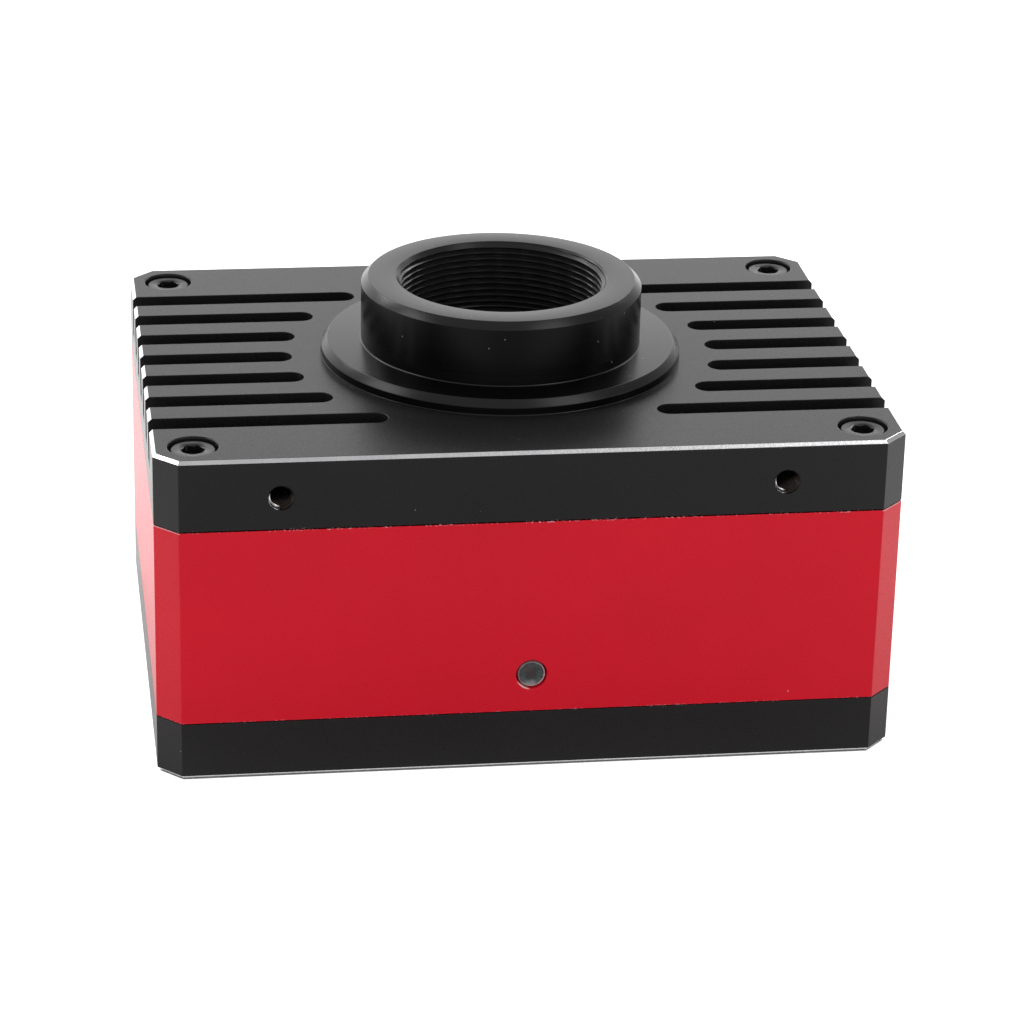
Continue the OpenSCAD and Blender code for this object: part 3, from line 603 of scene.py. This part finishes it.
def light_window():
    """Front of the light pipe: dark smoked plastic, uneven and darkest in the middle. Its thin
    ragged moulded rim has a painted highlight, brighter low on the right, and a pale spot of
    painted light lies low down."""
    material, tree, shader = new_material(
        "light_window", Roughness=0.12, Coat_Weight=0.4, Coat_Roughness=0.05)
    place = tree.place()
    x, _, z = tree.parts(place)
    up = tree.minus(z, LIGHT_Z)
    radius = tree.length(x, up)
    noise = tree.noise(place, 1500.0, 3.0, 0.65)
    broad = tree.noise(place, 650.0, 1.0)
    ragged = tree.plus(radius, tree.times(noise, 0.3 * MM))
    # Painted highlight on the rounded rim, brighter low on the right, where it catches the light.
    rim = tree.ramp(ragged, 1.58 * MM, 1.68 * MM)
    lit = tree.ramp(tree.minus(x, up), -1.5 * MM, 1.5 * MM, 0.35, 1.0)
    low = tree.ramp(tree.plus(up, tree.times(noise, 0.9 * MM)), -0.3 * MM, -0.8 * MM)
    side = tree.ramp(tree.math("ABSOLUTE", tree.plus(x, 0.1 * MM)), 0.95 * MM, 0.4 * MM)
    # Painted light: a pale spot low down on the window.
    painted_light_patch = tree.times(low, side)
    middle = tree.ramp(radius, 0.9 * MM, 0.3 * MM)
    cloud = tree.ramp(broad, 0.5, 0.62)
    colour = tree.mix(tree.ramp(noise, 0.35, 0.65), (0.006, 0.016, 0.015), (0.045, 0.07, 0.069))
    colour = tree.mix(tree.times(middle, 0.8), colour, (0.018, 0.009, 0.011))
    colour = tree.mix(tree.times(cloud, 0.4), colour, (0.05, 0.028, 0.035))
    colour = tree.mix(tree.times(painted_light_patch, 0.65), colour, (0.3, 0.28, 0.29))
    colour = tree.mix(tree.times(rim, lit), colour, (0.55, 0.38, 0.4))
    tree.link(colour, shader.inputs["Base Color"])
    set_bump(tree, shader, noise, 0.03 * MM)
    return material


def tapped_metal(name, hole_x):
    """Aluminium of a thread tapped after anodising. It is dark at the mouth and deep inside.
    Low on the left it has a painted grey reflection on the mouth's edge, and a painted highlight
    on the first turns, which the tap has cut to bare metal."""
    material, tree, shader = new_material(name, Metallic=1.0)
    grain = use_group(tree, GRAIN, Grains_per_mm=8.0)
    fine = tree.ramp(grain.outputs["Height"], 0.35, 0.65)
    x, y, z = tree.parts(tree.place())
    depth = tree.minus(y, FRONT_Y)
    first = tree.times(tree.ramp(depth, 0.3 * MM, 0.36 * MM),
                       tree.ramp(depth, 0.95 * MM, 0.8 * MM))
    left = tree.minus(hole_x, x)
    below = tree.minus(FRONT_HOLE_Z, z)
    ragged = tree.plus(tree.plus(left, tree.times(below, 0.6)), tree.times(fine, 0.2 * MM))
    # Painted highlight: the first turns, bare from the tap, catch the light low on the left.
    first_turn_highlight = tree.times(first, tree.ramp(ragged, 1.0 * MM, 1.25 * MM))
    # Painted reflection: grey on the mouth's edge, low on the left.
    edge = tree.times(tree.ramp(depth, 0.2 * MM, 0.16 * MM),
                      tree.ramp(ragged, 1.0 * MM, 1.4 * MM))
    colour = tree.mix(fine, (0.02, 0.017, 0.016), (0.045, 0.034, 0.03))
    colour = tree.mix(edge, colour, (0.5, 0.49, 0.5))
    colour = tree.mix(first_turn_highlight, colour, (0.92, 0.9, 0.91))
    tree.link(colour, shader.inputs["Base Color"])
    tree.link(tree.ramp(fine, 0.0, 1.0, 0.2, 0.32), shader.inputs["Roughness"])
    set_bump(tree, shader, grain.outputs["Height"], 0.006 * MM)
    return material


def plain(name, colour, rough, metal=0.0, grain_mm=5.0, depth=0.01 * MM):
    """Everyday finish with its own grain: a colour that varies by 12 parts in a hundred, a
    roughness that varies by 15, and a fine bump."""
    material, tree, shader = new_material(name, Metallic=metal)
    grain = use_group(tree, GRAIN, Grains_per_mm=grain_mm)
    tone = tree.ramp(grain.outputs["Tone"], 0.3, 0.7)
    darker = tuple(c * 0.88 for c in colour)
    lighter = tuple(min(c * 1.12, 1.0) for c in colour)
    tree.link(tree.mix(tone, darker, lighter), shader.inputs["Base Color"])
    tree.link(tree.ramp(tone, 0.0, 1.0, rough * 0.85, rough * 1.15), shader.inputs["Roughness"])
    set_bump(tree, shader, grain.outputs["Height"], depth)
    return material


def optical_glass():
    """Coated window glass."""
    return new_material("optical_glass", Base_Color=(0.95, 0.98, 1.0), Roughness=0.02, IOR=1.5,
                        Transmission_Weight=1.0)[0]


BLACK = black_anodised()
RED = red_anodised()
RIM = bright_rim()
TURNED = turned_black("turned_black", 0.26)
TURNED_WALL = turned_black("turned_black_wall", 0.12)
GLASS = optical_glass()
SCREW = plain("black_screw", (0.02, 0.02, 0.021), 0.3, metal=0.6, grain_mm=6.0, depth=0.008 * MM)
RUBBER = plain("seal_rubber", (0.012, 0.012, 0.012), 0.7)
LIGHT = light_window()
CERAMIC = plain("alumina", (0.78, 0.77, 0.72), 0.55)
PACKAGE = plain("package_ceramic", (0.1, 0.08, 0.07), 0.5)
SILICON = plain("sensor_silicon", (0.05, 0.09, 0.16), 0.08, metal=0.7, depth=0.001 * MM)
BOARD = plain("circuit_board", (0.01, 0.09, 0.035), 0.35)
STEEL = plain("bright_steel", (0.6, 0.6, 0.61), 0.25, metal=1.0)
PAD = plain("soft_pad", (0.25, 0.3, 0.38), 0.6)
ALUMINIUM = plain("machined_aluminium", (0.75, 0.76, 0.78), 0.3, metal=1.0)
CHIP = plain("chip_plastic", (0.015, 0.015, 0.015), 0.45)
PELLET = plain("cooler_pellet", (0.25, 0.25, 0.28), 0.45, metal=0.8)
FOAM = plain("closed_foam", (0.03, 0.03, 0.033), 0.9, grain_mm=2.0, depth=0.06 * MM)
DESICCANT = plain("desiccant", (0.85, 0.7, 0.5), 0.85)
PLASTIC = plain("fan_plastic", (0.014, 0.014, 0.0145), 0.38)
COPPER = plain("copper_wire", (0.75, 0.3, 0.13), 0.28, metal=1.0)
MAGNET = plain("magnet", (0.06, 0.06, 0.06), 0.4, metal=0.5)
BLUE = plain("socket_blue", (0.01, 0.05, 0.32), 0.35)
NYLON = plain("connector_nylon", (0.75, 0.7, 0.55), 0.45)
AMBER = plain("amber_film", (0.55, 0.24, 0.04), 0.25)
WIRE = plain("wire_red", (0.4, 0.012, 0.012), 0.4)

FINISH = {
    "top_cover": BLACK, "body_shell": RED, "rear_cover": BLACK, "c_mount_nose": TURNED,
    "nose_o_ring": RUBBER, "top_cover_screws": SCREW, "rear_cover_screws": SCREW,
    "top_gasket": RUBBER, "rear_gasket": RUBBER, "status_light_pipe": LIGHT,
    "status_led": CERAMIC, "window_glass": GLASS, "window_o_ring": RUBBER,
    "window_retaining_ring": TURNED, "image_sensor": PACKAGE, "sensor_die": SILICON,
    "sensor_cover_glass": GLASS, "sensor_board": BOARD, "sensor_board_screws": STEEL,
    "thermal_pad": PAD, "cold_finger": ALUMINIUM, "temperature_probe": CHIP,
    "tec_cold_plate": CERAMIC, "tec_pellets": PELLET, "tec_hot_plate": CERAMIC,
    "chamber_insulation": FOAM, "desiccant_tablets": DESICCANT, "chamber_housing": TURNED,
    "chamber_gaskets": RUBBER, "chamber_screws": SCREW, "heat_sink": ALUMINIUM,
    "fan_frame": PLASTIC, "fan_stator": COPPER, "fan_bearings": STEEL, "fan_shaft": STEEL,
    "fan_rotor": PLASTIC, "fan_magnet": MAGNET, "fan_screws": SCREW, "main_board": BOARD,
    "board_screws": STEEL, "processor": CHIP, "memory_chips": CHIP, "inductors": CHIP,
    "capacitors": STEEL, "usb_socket": STEEL, "usb_insert": BLUE, "power_jack": PLASTIC,
    "power_jack_pin": STEEL, "flex_connectors": NYLON, "sensor_flex": AMBER,
    "tec_leads": WIRE, "fan_lead": WIRE, "fan_connector": NYLON,
}
for name, material in FINISH.items():
    cad[name].data.materials.clear()
    cad[name].data.materials.append(material)

BODIES = {node: body for body, nodes in frame["record"]["behaviour"]["bodies"].items()
          for node in nodes}


# ------------------------------------------------------------------ mesh helpers

def stand_for(piece, node):
    """Makes a piece take a CAD node's place and body."""
    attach(piece, BODIES[node])
    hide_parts(node)


def grid_mesh(name, points, wrap_rows):
    """Mesh from an array of points, rows x columns x 3; columns always close on themselves,
    and rows do where wrap_rows is true. The faces are turned so that the volume inside,
    a sixth of the sum of the corners' triple products, comes out positive."""
    rows, columns = points.shape[:2]
    index = np.arange(rows * columns).reshape(rows, columns)
    after = np.roll(index, -1, axis=1)
    if wrap_rows:
        low, low_after = index, after
        high, high_after = np.roll(index, -1, axis=0), np.roll(after, -1, axis=0)
    else:
        low, low_after, high, high_after = index[:-1], after[:-1], index[1:], after[1:]
    quads = np.stack([low, low_after, high_after, high], axis=-1).reshape(-1, 4)
    flat = points.reshape(-1, 3)
    a, b, c, d = (flat[quads[:, k]] for k in range(4))
    if np.sum(a * (np.cross(b, c) + np.cross(c, d))) < 0:
        quads = quads[:, ::-1]
    return quad_mesh(name, flat, quads)


def quad_mesh(name, points, quads):
    """Mesh from flat arrays of points and of four-cornered faces."""
    mesh = bpy.data.meshes.new(name)
    mesh.vertices.add(len(points))
    mesh.vertices.foreach_set("co", points.reshape(-1).astype(np.float32))
    mesh.loops.add(quads.size)
    mesh.loops.foreach_set("vertex_index", quads.reshape(-1).astype(np.int32))
    mesh.polygons.add(len(quads))
    mesh.polygons.foreach_set("loop_start", np.arange(0, quads.size, 4, dtype=np.int32))
    mesh.update(calc_edges=True)
    mesh.validate()
    return mesh


def round_corners(corners, radii):
    """Closed outline with each corner cut back by its radius and joined by a quadratic curve.
    A cut takes at most 0.45 of a side. corners are (r, z) pairs."""
    before, after = np.roll(corners, 1, axis=0), np.roll(corners, -1, axis=0)
    outline = []
    for here, back, ahead, r in zip(corners, before, after, radii):
        if r == 0:
            outline.append(here[None])
            continue
        start = here + (back - here) * min(r / np.linalg.norm(back - here), 0.45)
        end = here + (ahead - here) * min(r / np.linalg.norm(ahead - here), 0.45)
        t = np.linspace(0, 1, CURVE_STEPS + 1)[:, None]
        outline.append((1 - t) ** 2 * start + 2 * t * (1 - t) * here + t ** 2 * end)
    return np.concatenate(outline)


def lathe_points(outline, columns):
    """Points of an outline of (radius, height) pairs turned about Z."""
    angle = np.linspace(0, 2 * np.pi, columns, endpoint=False)
    r, z = outline[:, 0][:, None], outline[:, 1][:, None]
    return np.stack([r * np.cos(angle), r * np.sin(angle), z + 0 * angle], axis=-1)


def shade_smooth(mesh, angle_deg):
    """Smooth shading with sharp edges kept above an angle."""
    mesh.shade_smooth()
    mesh.set_sharp_from_angle(angle=math.radians(angle_deg))


def joined_copy(node, name):
    """New piece with a CAD node's triangles joined up and its flat faces merged."""
    mesh = bpy.data.meshes.new(name)
    work = bmesh.new()
    work.from_mesh(cad[node].data)
    bmesh.ops.remove_doubles(work, verts=work.verts, dist=0.002 * MM)
    bmesh.ops.dissolve_limit(work, angle_limit=math.radians(0.5), verts=work.verts,
                             edges=work.edges)
    work.to_mesh(mesh)
    work.free()
    for stale in ("custom_normal", "sharp_edge", "sharp_face"):
        if stale in mesh.attributes:
            mesh.attributes.remove(mesh.attributes[stale])
    mesh.shade_smooth()
    return link_mesh(name, mesh, cad[node].data.materials)


def vectors(items, key):
    """Array of a vector that each vertex or face of a mesh has, such as its place or normal."""
    values = np.empty(len(items) * 3)
    items.foreach_get(key, values)
    return values.reshape(-1, 3)


def outline_gaps(places):
    """How far points lie inside the nearest side of the housing's outline, and inside its cut
    corners: the half sizes less |x| and |y|, and the sum of those less the corner's cut."""
    gap = np.array([HALF_X, HALF_Y]) - np.abs(places[:, :2])
    return gap.min(axis=1), gap.sum(axis=1) - CORNER_CUT


def open_joint(mesh, height):
    """Opens a thin wedge above a housing part: cuts its walls a little below the top, and
    slopes the outline inward from there by JOINT_DEPTH."""
    near = 0.01 * MM
    work = bmesh.new()
    work.from_mesh(mesh)
    top = vectors(mesh.vertices, "co")[:, 2].max()
    bmesh.ops.bisect_plane(work, geom=work.verts[:] + work.edges[:] + work.faces[:],
                           plane_co=(0, 0, top - height), plane_no=(0, 0, 1), dist=1e-7)
    work.to_mesh(mesh)
    work.free()
    place = vectors(mesh.vertices, "co")
    side, corner = outline_gaps(place)
    moved = ((side < near) | (corner < near)) & (place[:, 2] > top - 0.1 * near)
    place[moved, :2] *= 1 - JOINT_DEPTH / np.array([HALF_X, HALF_Y])
    mesh.vertices.foreach_set("co", place.ravel())
    mesh.update()


def softened_copy(node, name, width, joint=0.0):
    """Copy of a CAD node whose sharp edges are rounded by a small bevel of the given width.
    Edges beside a face too narrow to hold the bevel are left as they are. A joint above zero
    opens a wedge of that height along the top edge of the outline."""
    piece = joined_copy(node, name)
    mesh = piece.data
    if joint:
        open_joint(mesh, joint)
    work = bmesh.new()
    work.from_mesh(mesh)
    weight = work.edges.layers.float.new("bevel_weight_edge")
    for edge in work.edges:
        sharp = len(edge.link_faces) == 2 and edge.calc_face_angle(0) > SHARP_ANGLE
        room = min((f.calc_area() / edge.calc_length() for f in edge.link_faces), default=0)
        if sharp and room > BEVEL_ROOM * width:
            edge[weight] = 1.0
        elif sharp:
            edge.smooth = False
    work.to_mesh(mesh)
    work.free()
    bevel = piece.modifiers.new("soft_edges", "BEVEL")
    bevel.width = width
    bevel.segments = BEVEL_SEGMENTS
    bevel.limit_method = "WEIGHT"
    bevel.use_clamp_overlap = False
    bevel.harden_normals = True
    stand_for(piece, node)
    return piece


# ------------------------------------------------------------------ housing

def paint_rim(piece, z_low, z_high):
    """Gives the bright material to the faces of the outer bevel, between two heights: those
    tilted 45 degrees that lie by the outline."""
    mesh = piece.data
    mesh.materials.append(RIM)
    centre = vectors(mesh.polygons, "center")
    normal = vectors(mesh.polygons, "normal")
    tilted = np.abs(np.abs(normal[:, 2]) - math.sqrt(0.5)) < 0.05
    within = (centre[:, 2] > z_low) & (centre[:, 2] < z_high)
    side, corner = outline_gaps(centre)
    outer = (side < RIM_CUT) | (corner < RIM_CUT * 1.5)
    mesh.polygons.foreach_set("material_index", (tilted & within & outer).astype(np.int32))


top_cover = softened_copy("top_cover", "top_cover_shell", 0.09 * MM)
paint_rim(top_cover, HOUSING_TOP - RIM_CUT, HOUSING_TOP)
rear_cover = softened_copy("rear_cover", "rear_cover_shell", 0.05 * MM, joint=REAR_JOINT)
paint_rim(rear_cover, 0.0, RIM_CUT)
softened_copy("body_shell", "red_body_shell", 0.08 * MM, joint=FRONT_JOINT)


# ------------------------------------------------------------------ nose

def thread_radius(phase, root, crest):
    """Radius of a 60 degree internal thread at a phase of its turn: a flat crest an eighth
    wide, straight flanks, and a flat root a quarter wide."""
    saw = np.abs((phase % 1.0) - 0.5) * 2
    flank = np.clip((saw - 0.125) / (0.75 - 0.125), 0, 1)
    return crest + (root - crest) * flank


def threaded_bore(z_top, z_end, mouth, root, crest, pitch, columns, start, rows_per_turn):
    """Grid of an internal thread running down from a conical mouth to a plain groove. Radius
    is the larger of the thread's and the cone's; the thread fades out over its last turn."""
    rows = int((z_top - z_end) / pitch * rows_per_turn) + 1
    z = np.linspace(z_top, z_end, rows)[:, None]
    angle = np.linspace(0, 2 * np.pi, columns, endpoint=False)[None, :]
    phase = (z_top - z) / pitch + angle / (2 * np.pi) + start
    radius = thread_radius(phase, root, crest)
    fade = np.clip((z - z_end) / pitch, 0, 1)
    radius = root + (radius - root) * fade
    radius = np.maximum(radius, mouth - (z_top - z))
    return np.stack([radius * np.cos(angle), radius * np.sin(angle), z + 0 * angle], axis=-1)


def make_nose():
    """Nose turned from one bar: the outer outline lathed, the inner wall a real thread."""
    low, high = node_low("c_mount_nose")[2], node_high("c_mount_nose")[2]
    plate = HOUSING_TOP
    flange_r = node_high("c_mount_nose")[0]
    flange_z = high - 7.9 * MM
    barrel_r = 17.1 * MM
    chamfer = 0.85 * MM
    fillet = 0.12 * MM
    neck_r, groove_r = 20.95 * MM, 19.95 * MM
    groove_z = low + 0.5 * MM
    groove_end = groove_z + 1.1 * MM
    bore_r, relief_r = 11.7 * MM, 18 * MM
    relief_z = low + 1.2 * MM
    thread_end = high - 9 * MM
    foot = 0.08 * MM
    # Each corner of the outline: radius, height, and how far it is rounded
    outline = np.array([
        (bore_r, thread_end, 0), (bore_r, relief_z, 0), (relief_r, relief_z, 0),
        (relief_r, low, 0), (neck_r, low, 0), (neck_r, groove_z, 0), (groove_r, groove_z, 0),
        (groove_r, groove_end, 0), (neck_r, groove_end, 0), (neck_r, plate, 0),
        (flange_r, plate, 0), (flange_r - 0.02 * MM, plate + foot, 0.02 * MM),
        (flange_r - foot, plate + 2 * foot, 0.03 * MM),
        (flange_r - foot, flange_z - chamfer, 0.07 * MM),
        (flange_r - chamfer, flange_z, 0.07 * MM), (barrel_r + fillet, flange_z, 0.04 * MM),
        (barrel_r, flange_z + fillet, 0.04 * MM), (barrel_r, high - chamfer, 0.07 * MM),
        (barrel_r - chamfer, high, 0.07 * MM), (MOUTH_RADIUS, high, 0.05 * MM)])
    wall = lathe_points(round_corners(outline[:, :2], outline[:, 2]), NOSE_COLUMNS)
    bore = threaded_bore(high - 0.06 * MM, thread_end, MOUTH_RADIUS - 0.02 * MM, THREAD_ROOT,
                         THREAD_CREST, THREAD_PITCH, NOSE_COLUMNS, THREAD_START, rows_per_turn=24)
    mesh = grid_mesh("nose", np.concatenate([wall, bore]), wrap_rows=True)
    shade_smooth(mesh, 30)
    centre = vectors(mesh.polygons, "center")
    outside = np.hypot(centre[:, 0], centre[:, 1]) > barrel_r - chamfer
    upright = (np.abs(vectors(mesh.polygons, "normal")[:, 2]) < 0.3) & outside
    piece = link_mesh("nose", mesh, [TURNED, TURNED_WALL])
    mesh.polygons.foreach_set("material_index", upright.astype(np.int32))
    stand_for(piece, "c_mount_nose")


make_nose()


# ------------------------------------------------------------------ front tapped holes

def make_tapped_hole(name, hole_x):
    """M3 thread in one front hole: the grid of a threaded bore, closed by a plain outer wall,
    turned so that its axis runs into the front face."""
    length, outer = 6.3 * MM, 1.49 * MM
    columns = 64
    mouth = threaded_bore(0.0, -length, mouth=1.47 * MM, root=1.45 * MM, crest=1.22 * MM,
                          pitch=0.5 * MM, columns=columns, start=0.1, rows_per_turn=16)
    wall = lathe_points(np.array([(outer, -length), (outer, -0.02 * MM)]), columns)
    tube = np.concatenate([mouth, wall])
    points = np.stack([hole_x + tube[..., 0], FRONT_Y - tube[..., 2] + 0.01 * MM,
                       FRONT_HOLE_Z + tube[..., 1]], axis=-1)
    mesh = grid_mesh(name, points, wrap_rows=True)
    shade_smooth(mesh, 40)
    piece = link_mesh(name, mesh, [tapped_metal(name + "_metal", hole_x)])
    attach(piece, "root")


make_tapped_hole("left_front_thread", -FRONT_HOLE_X)
make_tapped_hole("right_front_thread", FRONT_HOLE_X)


# ------------------------------------------------------------------ status light

def make_light_pipe():
    """Light pipe: a circle carried from the front, back to the elbow and down to the light.
    Its radius grows from a slightly dished face through a rounded rim."""
    low, high = node_low("status_light_pipe"), node_high("status_light_pipe")
    elbow = high[1] - LIGHT_R
    bend = LIGHT_R * 1.05
    angle = np.linspace(0, 2 * np.pi, 48, endpoint=False)
    across, up = LIGHT_R * np.cos(angle), LIGHT_R * np.sin(angle)
    # The face: share of the radius, and millimetres behind the front
    dish = np.array([[PIN, 0.12], [0.5, 0.11], [0.75, 0.07], [0.86, 0.02], [0.92, 0.0],
                     [0.97, 0.04], [1.0, 0.14]])
    rings = [np.stack([share * across, low[1] + back * MM + 0 * up, LIGHT_Z + share * up],
                      axis=-1) for share, back in dish]
    for t in np.linspace(0, np.pi / 2, 9):
        y = elbow - bend * (1 - math.sin(t))
        z = LIGHT_Z + bend * (1 - math.cos(t))
        rings.append(np.stack([across, y - up * math.sin(t), z + up * math.cos(t)], axis=-1))
    end = np.stack([across, elbow - up, high[2] + 0 * up], axis=-1)
    middle = np.array([0, elbow, high[2]])
    rings += [end, middle + (end - middle) * PIN]
    mesh = grid_mesh("light_pipe", np.stack(rings), wrap_rows=False)
    work = bmesh.new()
    work.from_mesh(mesh)
    bmesh.ops.holes_fill(work, edges=work.edges, sides=0)
    bmesh.ops.recalc_face_normals(work, faces=work.faces)
    work.to_mesh(mesh)
    work.free()
    shade_smooth(mesh, 50)
    stand_for(link_mesh("light_pipe", mesh, [LIGHT]), "status_light_pipe")


make_light_pipe()


# ------------------------------------------------------------------ screws, ports, fan

softened_copy("top_cover_screws", "top_screws", 0.08 * MM)
softened_copy("rear_cover_screws", "rear_screws", 0.08 * MM)
softened_copy("fan_screws", "fan_screw_set", 0.05 * MM)
softened_copy("fan_frame", "fan_housing", 0.12 * MM)
softened_copy("fan_rotor", "fan_impeller", 0.1 * MM)
softened_copy("usb_socket", "usb_shell", 0.1 * MM)
softened_copy("usb_insert", "usb_tongues", 0.1 * MM)
softened_copy("power_jack", "power_socket", 0.12 * MM)
softened_copy("heat_sink", "finned_heat_sink", 0.1 * MM)
